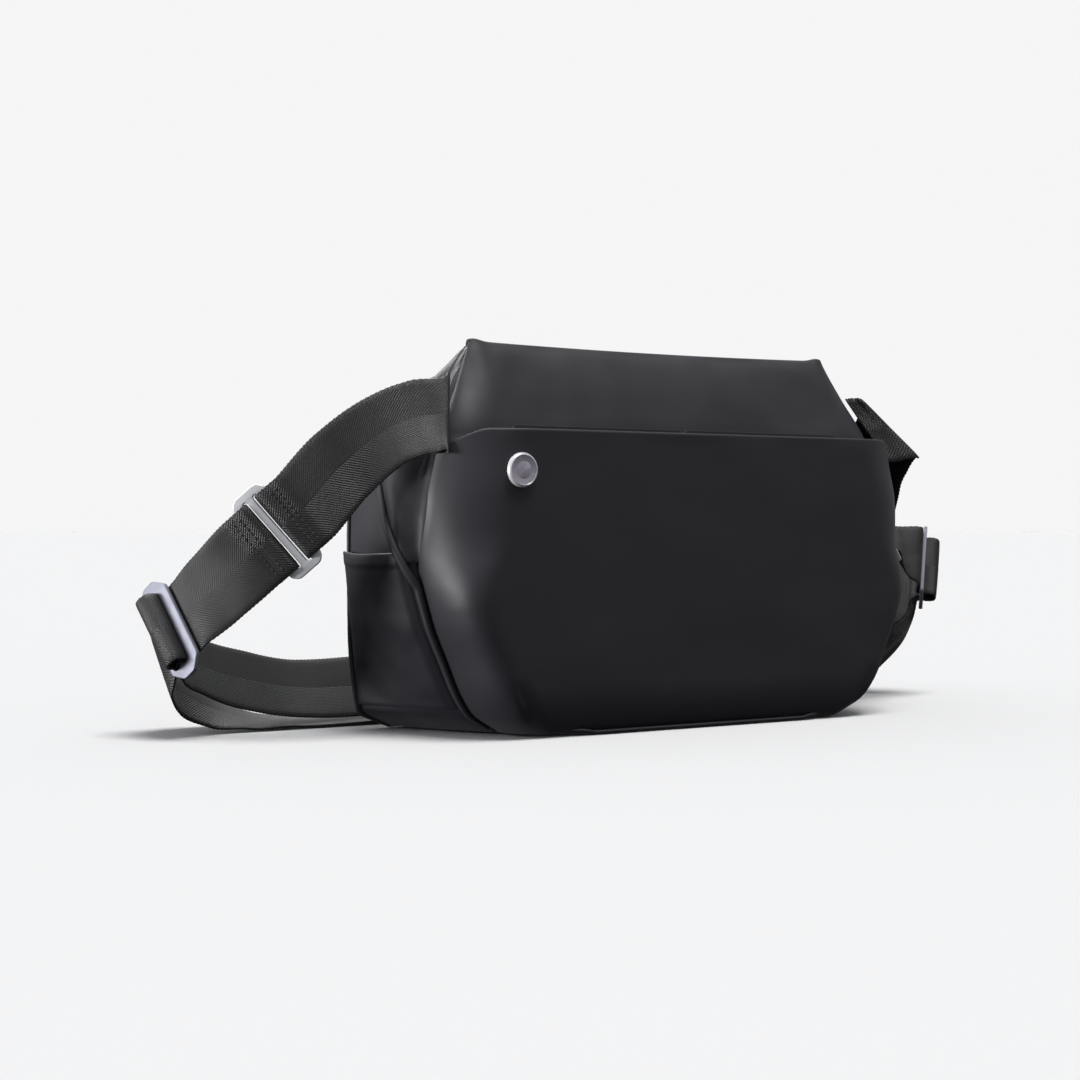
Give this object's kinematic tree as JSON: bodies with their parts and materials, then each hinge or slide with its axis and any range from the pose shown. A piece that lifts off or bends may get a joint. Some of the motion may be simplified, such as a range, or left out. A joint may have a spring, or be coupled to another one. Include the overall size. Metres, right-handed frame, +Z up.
{
  "type": "sling bag",
  "caption": "Soft-sided sling bag with a ridged top, an open-top front pocket, a zipped main compartment and an adjustable webbing strap with metal ring and slider hardware.",
  "frame": {"origin": "on the floor under the middle of the bag's top ridge, on the flat underside of the base panel", "axes": "+Z up, -Y towards the front pocket, +Y towards the wearer's back panel, +X to the right seen from the front"},
  "size_m": [0.5048, 0.1556, 0.1915],
  "materials": {
    "coated_front": "smooth matte coated fabric",
    "coated_side": "smooth matte coated fabric, darker",
    "webbing": "herringbone webbing, satin",
    "divider_sheet": "matte sheet",
    "lining": "plain woven lining",
    "foam": "closed-cell foam",
    "stiffener": "matte board",
    "zip_tape": "woven tape",
    "zip_coil": "satin coil",
    "hardware_steel": "bright satin",
    "slider_metal": "bead-blasted satin",
    "button_metal": "matte face, bright bevel"
  },
  "bodies": {
    "bag": {"front_pocket_lower": "coated_front", "front_wall": "coated_front", "top_front_panel": "coated_front", "pocket_divider": "divider_sheet", "back_panel": "coated_front", "back_foam": "foam", "base_panel": "coated_front", "base_board": "stiffener", "main_lining_front": "lining", "inner_slip_pocket": "lining", "ridge_back_panel": "coated_front", "zip_coil_back": "zip_coil", "zip_tape_back": "zip_tape", "side_panel_left": "coated_side", "side_top_panel_left": "coated_side", "side_pocket_left": "coated_side", "pocket_bellows_left": "coated_side", "seam_piping_left": "coated_front", "zip_end_tab_left": "webbing", "strap_anchor_left": "webbing", "side_panel_right": "coated_side", "side_top_panel_right": "coated_side", "side_pocket_right": "coated_side", "pocket_bellows_right": "coated_side", "seam_piping_right": "coated_front", "zip_end_tab_right": "webbing", "strap_anchor_right": "webbing"},
    "pocket_mouth": {"front_pocket_mouth": "coated_front", "button": "button_metal", "button_washer": "hardware_steel"},
    "lid": {"top_lid": "coated_front", "zip_tape_lid": "zip_tape", "zip_coil_lid": "zip_coil"},
    "zip_runner": {"zip_slider": "hardware_steel", "zip_slider_staple": "hardware_steel"},
    "zip_puller": {"zip_pull": "hardware_steel"},
    "strap": {"strap_shoulder_webbing": "webbing", "strap_ring_left": "hardware_steel", "strap_slider_left": "slider_metal", "strap_upper_webbing_left": "webbing", "strap_lower_webbing_left": "webbing", "strap_ring_right": "hardware_steel", "strap_slider_right": "slider_metal", "strap_upper_webbing_right": "webbing", "strap_lower_webbing_right": "webbing"}
  },
  "joints": [
    {"name": "pocket_open", "type": "hinge", "parent": "bag", "child": "pocket_mouth", "pos_m": [0, -0.0448, 0.0898], "axis": [1, 0, 0], "range_deg": [0, 22]},
    {"name": "lid_open", "type": "hinge", "parent": "bag", "child": "lid", "pos_m": [0, 0.01, 0.175], "axis": [1, 0, 0], "range_deg": [0, 75]},
    {"name": "zip_slide", "type": "slide", "parent": "bag", "child": "zip_runner", "axis": [-1, 0, 0], "range_m": [0, 0.236]},
    {"name": "pull_flip", "type": "hinge", "parent": "zip_runner", "child": "zip_puller", "pos_m": [0.118, 0.04603, 0.16713], "axis": [0, -0.9552, 0.2961], "range_deg": [0, 178]},
    {"name": "strap_swing", "type": "hinge", "parent": "bag", "child": "strap", "pos_m": [0, -0.0125, 0.155], "axis": [1, 0, 0], "range_deg": [0, 150]}
  ]
}
